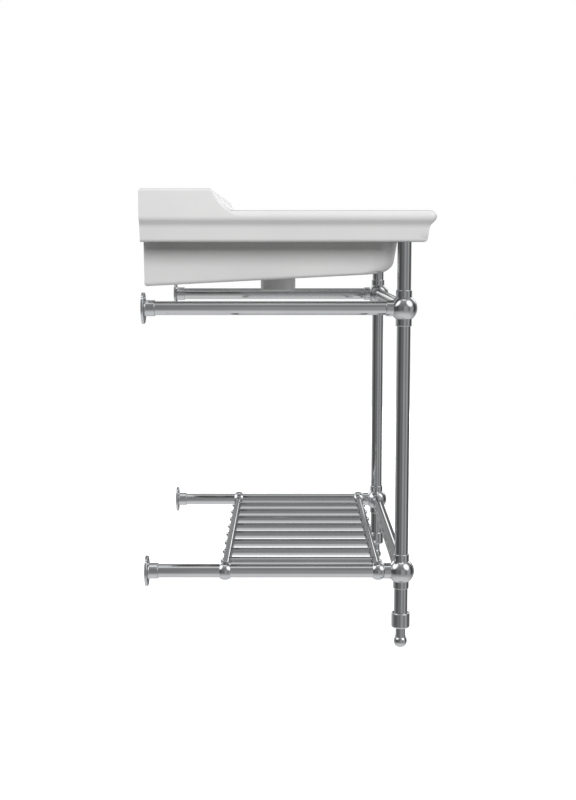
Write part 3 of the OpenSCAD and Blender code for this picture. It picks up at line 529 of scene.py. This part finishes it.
def basin_hollows():
    """What is cut from the basin, each with whether it is glazed.

    The casting's hollows come first, then the tap holes, wall bolt holes, leg recesses and overflow."""
    bowl_y1 = wall_y - bowl_back_inset
    passage_y = bowl_y1 + passage_wall + passage_d / 2
    front_y, back_y = passage_y + passage_wall + passage_d / 2, wall_y - shell_t
    inner_x = lip_x - body_side_inset - shell_t - body_drop * lean_of(side_lean)
    top_z, boss_z = rim_z + ledge_rise - deck_t, under_z(wall_y - waste_back) - boss_drop
    yield hollow(inner_x, front_y, back_y, boss_z, deck_low), False
    pocket_y = wall_y - ledge_d + shell_t
    yield hollow(lip_x - pocket_inset, pocket_y, back_y, deck_low - overrun, top_z), False
    yield under_rim(), False
    for x in (-tap_spread / 2, 0, tap_spread / 2):
        yield rod(hole(tap_d / 2, deck_t, overrun), (x, wall_y - tap_back, rim_z + ledge_rise), 2), True
    for x in (-wall_bolt_spread / 2, wall_bolt_spread / 2):
        yield rod(hole(wall_bolt_d / 2, shell_t, overrun), (x, wall_y, deck_low - wall_bolt_low), 1), False
    for x in (-leg_x, leg_x):
        yield rod(bar(tube_r + leg_recess_fit, -overrun, leg_recess), (x, leg_y, rim_low), 2), False
    inlet_z = land_z - overflow_drop
    wall_at = bowl_y1 - bowl_lip_r - (overflow_drop - bowl_lip_r) * lean_of(bowl_back_lean)
    inlet = hole(overflow_d / 2, passage_y - wall_at, 0) * (1, -1)
    yield rod(inlet, (0, wall_at, inlet_z), 1), True
    drop = bowl_depth + floor_fall - overflow_drop
    yield rod(bar(passage_d / 2, 0, -drop), (0, passage_y, inlet_z), 2), True


def basin():
    """The basin with its hollows cut out, glazed but for those hollows and the face at the wall."""
    mesh = basin_skin().mesh("basin_glazed")
    surfaces = [finishes["glazed ceramic"], fired_clay]
    made = piece("basin_glazed", mesh, surfaces)
    normals, centres = np.empty((2, len(mesh.polygons), 3))
    mesh.polygons.foreach_get("normal", normals.ravel())
    mesh.polygons.foreach_get("center", centres.ravel())
    at_wall = (normals[:, 1] > flat_to_wall) & (centres[:, 1] > (wall_y - overrun) * MM)
    mesh.polygons.foreach_set("material_index", at_wall.astype(int))
    for cut, glazed in basin_hollows():
        for surface in surfaces:
            cut.materials.append(surface)
        cut.polygons.foreach_set("material_index", np.full(len(cut.polygons), int(not glazed)))
        tool = bpy.data.objects.new("cut", cut)
        scene.collection.objects.link(tool)
        step = made.modifiers.new("cut", "BOOLEAN")
        step.operation, step.solver, step.object = "DIFFERENCE", "MANIFOLD", tool
        cut_out = made.evaluated_get(bpy.context.evaluated_depsgraph_get())
        shaped = bpy.data.meshes.new_from_object(cut_out)
        made.modifiers.clear()
        made.data = shaped
        bpy.data.objects.remove(tool)
    made.data.name = "basin_glazed"
    soften(made.data)
    flat = made.modifiers.new("true flats", "WEIGHTED_NORMAL")
    flat.keep_sharp = True
    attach(made, "stand_and_basin")
    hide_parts("basin")


def polished_tube(node, way, r, wall, saddle=0.0):
    """A tube along one axis between its node's ends: four chamfered sides turned round the axis.

    With a saddle each end is coped to the round bar that it lies against. The end at a height over the
    axis is drawn back by the bar's half chord there, less its half chord at the tube's own top."""
    low, high = (np.array(corner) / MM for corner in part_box(node))
    centre = (low + high) / 2
    reach = (high - low)[way] / 2
    bore = r - wall
    straight = reach - end_edge
    outer = [(r - end_edge, -reach), (r, -straight), (r, straight), (r - end_edge, reach)]
    inner = [(bore + end_edge, reach), (bore, straight), (bore, -straight), (bore + end_edge, -reach)]
    points = turned(outer + inner + outer[:1], centre, way)
    if saddle:
        half_chord = np.sqrt(saddle ** 2 - (points[..., 2] - centre[2]) ** 2)
        drawn_back = half_chord - math.sqrt(saddle ** 2 - r ** 2)
        points[..., way] -= np.sign(points[..., way] - centre[way]) * drawn_back
    skin = Skin()
    skin.grid(points, closed=True)
    made = piece(node + "_polished", skin.mesh(node + "_polished"), [finishes["chrome"]])
    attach(made, "stand_and_basin")
    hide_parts(node)


class Recipe:
    """The nodes of one material or of the world, each added and joined in one call."""

    def __init__(self, owner, reads):
        owner.use_nodes = True
        self.tree = owner.node_tree
        self.place = self.add("TexCoord", {}).outputs[reads]

    def join(self, socket, value):
        """A number or a colour set on a socket, or another node's output joined to it."""
        if isinstance(value, bpy.types.NodeSocket):
            self.tree.links.new(value, socket)
        else:
            socket.default_value = value

    def add(self, kind, inputs, **settings):
        """A node of a kind, with numbers, colours or other nodes' outputs on its inputs."""
        made = self.tree.nodes.new("ShaderNode" + kind)
        for key, value in settings.items():
            setattr(made, key, value)
        for key, value in inputs.items():
            self.join(made.inputs[key], value)
        return made

    def noise(self, scale, detail=3.0, stretch=(1, 1, 1)):
        """Soft noise from 0 to 1, so many waves a metre, drawn out along an axis by a stretch under 1."""
        place = self.add("Mapping", {"Vector": self.place, "Scale": stretch}).outputs["Vector"]
        return self.add("TexNoise", {"Vector": place, "Scale": scale, "Detail": detail}).outputs["Fac"]

    def level(self, value, low, high, start=0.3, end=0.7):
        """A value between start and end carried evenly to one between low and high."""
        inputs = {"Value": value, "From Min": start, "From Max": end, "To Min": low, "To Max": high}
        return self.add("MapRange", inputs).outputs["Result"]

    def mix(self, share, first, second):
        """The first colour where the share is 0 and the second where it is 1."""
        return self.add("Mix", {0: share, 6: first, 7: second}, data_type="RGBA").outputs[2]

    def combine(self, a, b, operation="ADD"):
        """Two values added, or worked on by another operation."""
        return self.add("Math", {0: a, 1: b}, operation=operation).outputs[0]


class Finish(Recipe):
    """A material's recipe and its shader, with the sockets that are the same all over set by name."""

    def __init__(self, name, **constants):
        self.material = bpy.data.materials.new(name)
        super().__init__(self.material, "Object")
        self.shader = self.tree.nodes["Principled BSDF"].inputs
        for socket, value in constants.items():
            self.shader[socket.replace("_", " ")].default_value = value

    def colour(self, noise, first, second):
        """Base colour that goes from the first to the second where the noise rises."""
        tone = self.mix(self.level(noise, 0, 1), (*first, 1), (*second, 1))
        self.join(self.shader["Base Color"], tone)

    def roughness(self, value):
        """Roughness that follows another node's output."""
        self.join(self.shader["Roughness"], value)

    def relief(self, height, depth, strength):
        """Bump whose height from 0 to 1 stands for so many metres."""
        bump = self.add("Bump", {"Height": height, "Distance": depth, "Strength": strength})
        self.join(self.shader["Normal"], bump.outputs["Normal"])


def chrome_finish():
    """Polished plating: a cool grey mirror with faint clouds, wiping marks and the tube's slight waves."""
    chrome = Finish("polished chrome", Metallic=1.0)
    cloud = chrome.noise(11)
    wiped = chrome.noise(260, 2, (1, 1, 0.08))
    chrome.colour(cloud, (0.53, 0.54, 0.555), (0.575, 0.58, 0.59))
    chrome.roughness(chrome.combine(chrome.level(cloud, 0.03, 0.055), chrome.level(wiped, 0, 0.015)))
    chrome.relief(chrome.noise(38, 1), 0.00012, 0.5)
    return chrome.material


def glaze_finish():
    """White glaze: deep gloss over a pale body, with faint clouds and the orange peel of a sprayed coat."""
    glaze = Finish("glazed ceramic", Coat_Weight=0.5, Coat_Roughness=0.06, IOR=1.52)
    glaze.colour(glaze.noise(7, 4), (0.80, 0.803, 0.80), (0.84, 0.84, 0.835))
    glaze.roughness(glaze.level(glaze.noise(23), 0.16, 0.24))
    glaze.relief(glaze.noise(130, 2), 0.00004, 0.5)
    return glaze.material


def clay_finish():
    """Bare fired clay of the hollows and the back: matt, warmer, with grog and dusted glaze."""
    clay = Finish("fired clay", IOR=1.5)
    clay.colour(clay.noise(34, 6), (0.72, 0.705, 0.68), (0.79, 0.785, 0.77))
    clay.roughness(clay.level(clay.noise(60), 0.7, 0.95))
    clay.relief(clay.noise(700, 4), 0.0004, 0.6)
    return clay.material


def rubber_finish():
    """Moulded black rubber with a grey bloom and a fine grain."""
    rubber = Finish("black rubber", IOR=1.5)
    rubber.colour(rubber.noise(90, 4), (0.022, 0.022, 0.023), (0.045, 0.045, 0.046))
    rubber.roughness(rubber.level(rubber.noise(300), 0.55, 0.8))
    rubber.relief(rubber.noise(1500, 2), 0.0001, 0.6)
    return rubber.material


def brass_finish():
    """Turned brass: tool rings across the plugs' axis and a little tarnish."""
    brass = Finish("turned brass", Metallic=1.0)
    rings = brass.noise(120, 1, (1, 30, 1))
    brass.colour(brass.noise(180, 4), (0.72, 0.57, 0.29), (0.60, 0.44, 0.20))
    brass.roughness(brass.level(rings, 0.2, 0.38))
    brass.relief(rings, 0.00005, 0.6)
    return brass.material


def steel_finish():
    """Brushed steel with a fine upright grain."""
    steel = Finish("brushed steel", Metallic=1.0)
    grain = steel.noise(2500, 2, (1, 1, 0.1))
    steel.colour(grain, (0.46, 0.46, 0.47), (0.60, 0.60, 0.60))
    steel.roughness(steel.level(grain, 0.24, 0.42))
    steel.relief(grain, 0.00002, 0.6)
    return steel.material


def ramp(recipe, share, stops):
    """Grey tones at places from 0 to 1, carried evenly from each to the next."""
    made = recipe.add("ValToRGB", {"Fac": share})
    keys = made.color_ramp.elements
    while len(keys) < len(stops):
        keys.new(0.5)
    for key, (place, tone) in zip(keys, stops):
        key.position, key.color = place, (tone, tone, tone, 1)
    return made.outputs["Color"]


def softbox(recipe, direction, core, edge, power):
    """Brightness that rises to a power by a soft step of the cosine between a direction and the ray's."""
    towards = Vector(direction).normalized()
    aim = recipe.add("VectorMath", {0: recipe.place, 1: towards}, operation="DOT_PRODUCT")
    dark, full = math.cos(math.radians(edge)), math.cos(math.radians(core))
    inputs = {"Value": aim.outputs["Value"], "From Min": dark, "From Max": full, "To Max": power}
    return recipe.add("MapRange", inputs, interpolation_type="SMOOTHSTEP").outputs["Result"]


def studio(recipe):
    """The room that lights the stand: a ramp by height, near the horizon one by turn, and the softboxes.

    On the first ramp a height stands at half of one plus its sine. On the second a turn stands at its
    share of the full circle, with no turn in the middle."""
    axes = recipe.add("SeparateXYZ", {0: recipe.place}).outputs
    height = recipe.level(axes["Z"], 0, 1, -1, 1)
    compass = recipe.combine(axes["Y"], recipe.combine(axes["X"], -1, "MULTIPLY"), "ARCTAN2")
    around = recipe.level(compass, 0, 1, -math.pi, math.pi)
    heights = [(0.5 + math.sin(math.radians(angle)) / 2, tone) for angle, tone in room_by_height]
    turns = [(0.5 + angle / 360, tone) for angle, tone in room_by_turn]
    band = recipe.level(recipe.combine(axes["Z"], 0, "ABSOLUTE"), 1, 0, *horizon_band)
    light = recipe.mix(band, ramp(recipe, height, heights), ramp(recipe, around, turns))
    for box in softboxes:
        glow = softbox(recipe, *box)
        light = recipe.add("VectorMath", {0: light, 1: glow}, operation="ADD").outputs["Vector"]
    return light


def room():
    """The studio round the stand.

    Mirrors show it in full, matt surfaces get a share of its light, and the camera itself sees white."""
    scene.view_settings.view_transform = "Standard"
    world = bpy.data.worlds.new("studio")
    scene.world = world
    recipe = Recipe(world, "Generated")
    ray = recipe.add("LightPath", {}).outputs
    strength = recipe.level(ray["Is Glossy Ray"], ambient_share, 1, 0, 1)
    lit = recipe.add("Background", {"Color": studio(recipe), "Strength": strength}).outputs[0]
    seen = recipe.add("Background", {"Color": (1, 1, 1, 1)}).outputs[0]
    shown = recipe.add("MixShader", {0: ray["Is Camera Ray"], 1: lit, 2: seen}).outputs[0]
    recipe.join(world.node_tree.nodes["World Output"].inputs["Surface"], shown)


def wash(name, turn, height, distance, size, power):
    """A large lamp that lights the ceramic and the floor, and that no polished part mirrors.

    Its turn from -X towards +Y and its height are in degrees, its distance and size in metres."""
    data = bpy.data.lights.new(name, "AREA")
    data.shape, data.size, data.energy = "SQUARE", size, power
    lamp = bpy.data.objects.new(name, data)
    scene.collection.objects.link(lamp)
    turn, height = math.radians(turn), math.radians(height)
    level = Vector((-math.cos(turn), math.sin(turn), 0)) * math.cos(height)
    away = level + Vector((0, 0, math.sin(height)))
    facing = away.to_track_quat("Z", "Y").to_matrix().to_4x4()
    lamp.matrix_world = Matrix.Translation(Vector((0, 0, basin_low[2] * MM)) + away * distance) @ facing
    lamp.visible_camera = lamp.visible_glossy = False


def floor():
    """A pale floor that glows into white round the stand, and that nothing mirrors."""
    pale = Finish("pale floor", Roughness=0.9, Emission_Color=(1, 1, 1, 1), Emission_Strength=floor_glow)
    pale.colour(pale.noise(3, 2), (0.86, 0.86, 0.86), (0.88, 0.88, 0.88))
    sheet = bpy.data.meshes.new("floor")
    corners = np.array([(-1, -1, 0), (1, -1, 0), (1, 1, 0), (-1, 1, 0)]) * floor_reach
    sheet.from_pydata(corners, [], [(0, 1, 2, 3)])
    sheet.materials.append(pale.material)
    plane = bpy.data.objects.new("floor", sheet)
    scene.collection.objects.link(plane)
    plane.visible_glossy = plane.visible_diffuse = False


finishes = {"chrome": chrome_finish(), "glazed ceramic": glaze_finish(), "rubber": rubber_finish(),
            "brass": brass_finish(), "steel": steel_finish()}
fired_clay = clay_finish()
for part in frame["record"]["subparts"]:
    shown = nodes[part["node"]].data
    shown.materials.clear()
    shown.materials.append(finishes[part["material_slot"]])

basin()
for side in ("left", "right"):
    for part in ("top", "middle", "bottom"):
        polished_tube(f"leg_{part}_{side}", 2, tube_r, tube_wall)
    for level in ("upper", "lower"):
        polished_tube(f"{level}_rail_{side}", 1, tube_r, tube_wall)
for name in ("towel_rail", "lower_cross_rail"):
    polished_tube(name, 0, tube_r, tube_wall)
for end in ("front", "rear"):
    polished_tube(f"rack_bar_{end}", 0, bar_r, slat_wall)
for index in range(slat_count):
    polished_tube(f"slat_{index + 1}", 1, slat_r, slat_wall, bar_r + saddle_fit)

camera()
room()
for name, place in washes.items():
    wash(name, *place)
floor()
